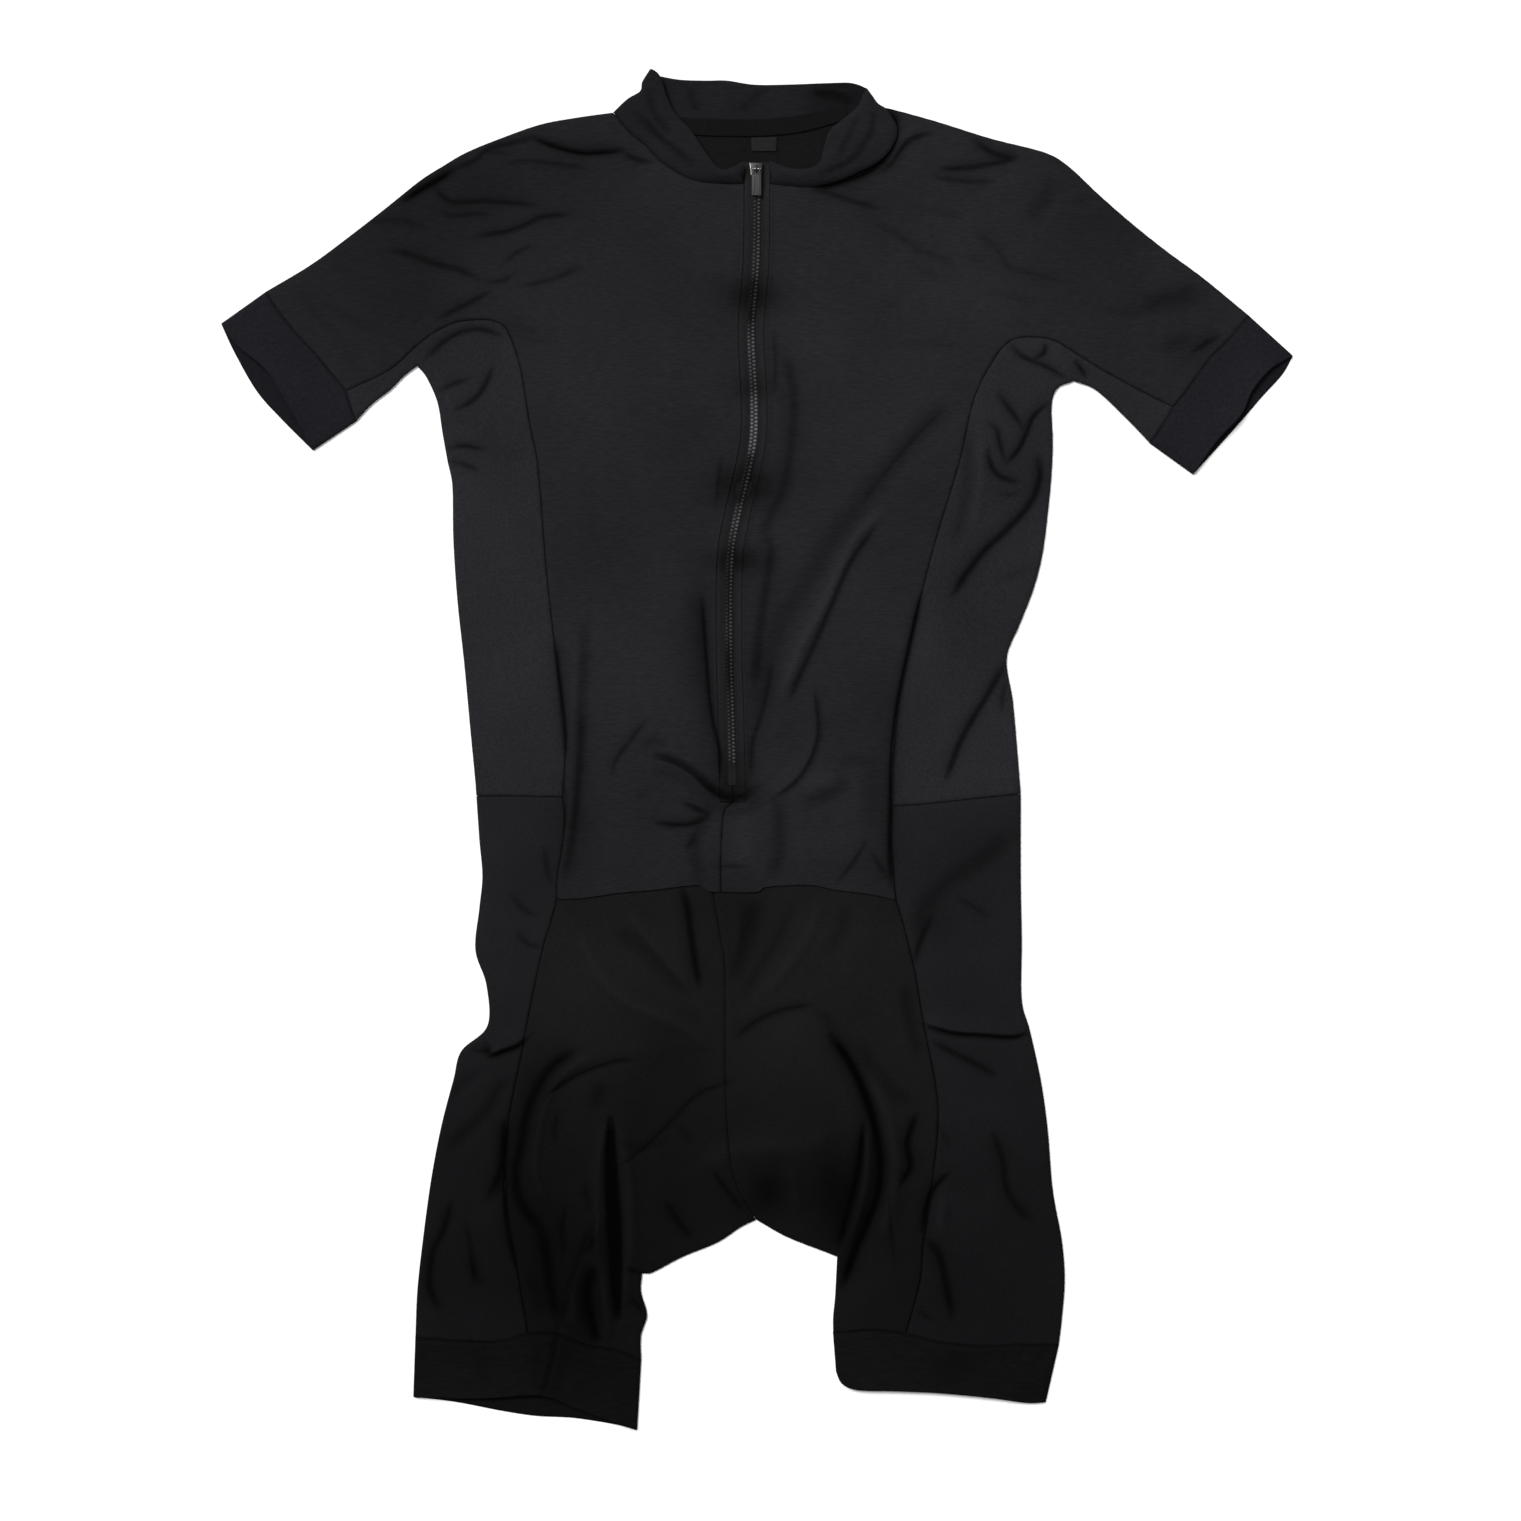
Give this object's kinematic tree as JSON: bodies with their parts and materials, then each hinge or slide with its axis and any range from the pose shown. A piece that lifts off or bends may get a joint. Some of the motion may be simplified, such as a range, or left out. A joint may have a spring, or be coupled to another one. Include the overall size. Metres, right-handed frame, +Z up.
{
  "type": "cycling skinsuit",
  "caption": "One-piece short-sleeved cycling skinsuit in black knit with a front zip, stand collar, padded shorts and elastic leg bands, laid flat on its back.",
  "frame": {"origin": "centre of the bounding box, on the surface the garment lies on", "axes": "+Y towards the collar along the body, +X to the right seen from above (the wearer's left), +Z up off the surface"},
  "size_m": [0.8262, 1.0488, 0.0135],
  "materials": {
    "jersey": "matt fine warp knit with a faint cross rib",
    "side": "matt knit, slightly lighter and bluer",
    "shorts": "dense smooth stretch knit with a soft sheen",
    "sleeve_band": "matt elastic knit",
    "leg_band": "matt wide elastic",
    "tape": "woven tape",
    "teeth": "moulded teeth, semi-gloss",
    "slider": "black lacquer worn to bright metal on its edges",
    "pull": "satin"
  },
  "bodies": {
    "garment": {"front_left": "jersey", "front_right": "jersey", "collar_left": "jersey", "collar_right": "jersey", "collar_back": "jersey", "back": "jersey", "side_left": "side", "side_right": "side", "hip_left": "shorts", "hip_right": "shorts", "thigh_left": "shorts", "thigh_right": "shorts", "seat_left": "shorts", "seat_right": "shorts", "cuff_left": "sleeve_band", "cuff_right": "sleeve_band", "gripper_left": "leg_band", "gripper_right": "leg_band", "neck_tape": "tape", "neck_label": "tape", "zip_tape_left": "tape", "zip_tape_right": "tape", "zip_chain": "teeth", "zip_slider": "slider"},
    "pull": {"pull_tab": "pull"}
  },
  "joints": [
    {"name": "pull_tab_hinge", "type": "hinge", "parent": "garment", "child": "pull", "pos_m": [-0.00039, 0.44665, 0.0082], "axis": [-1, 0, 0], "range_deg": [0, 150]}
  ]
}
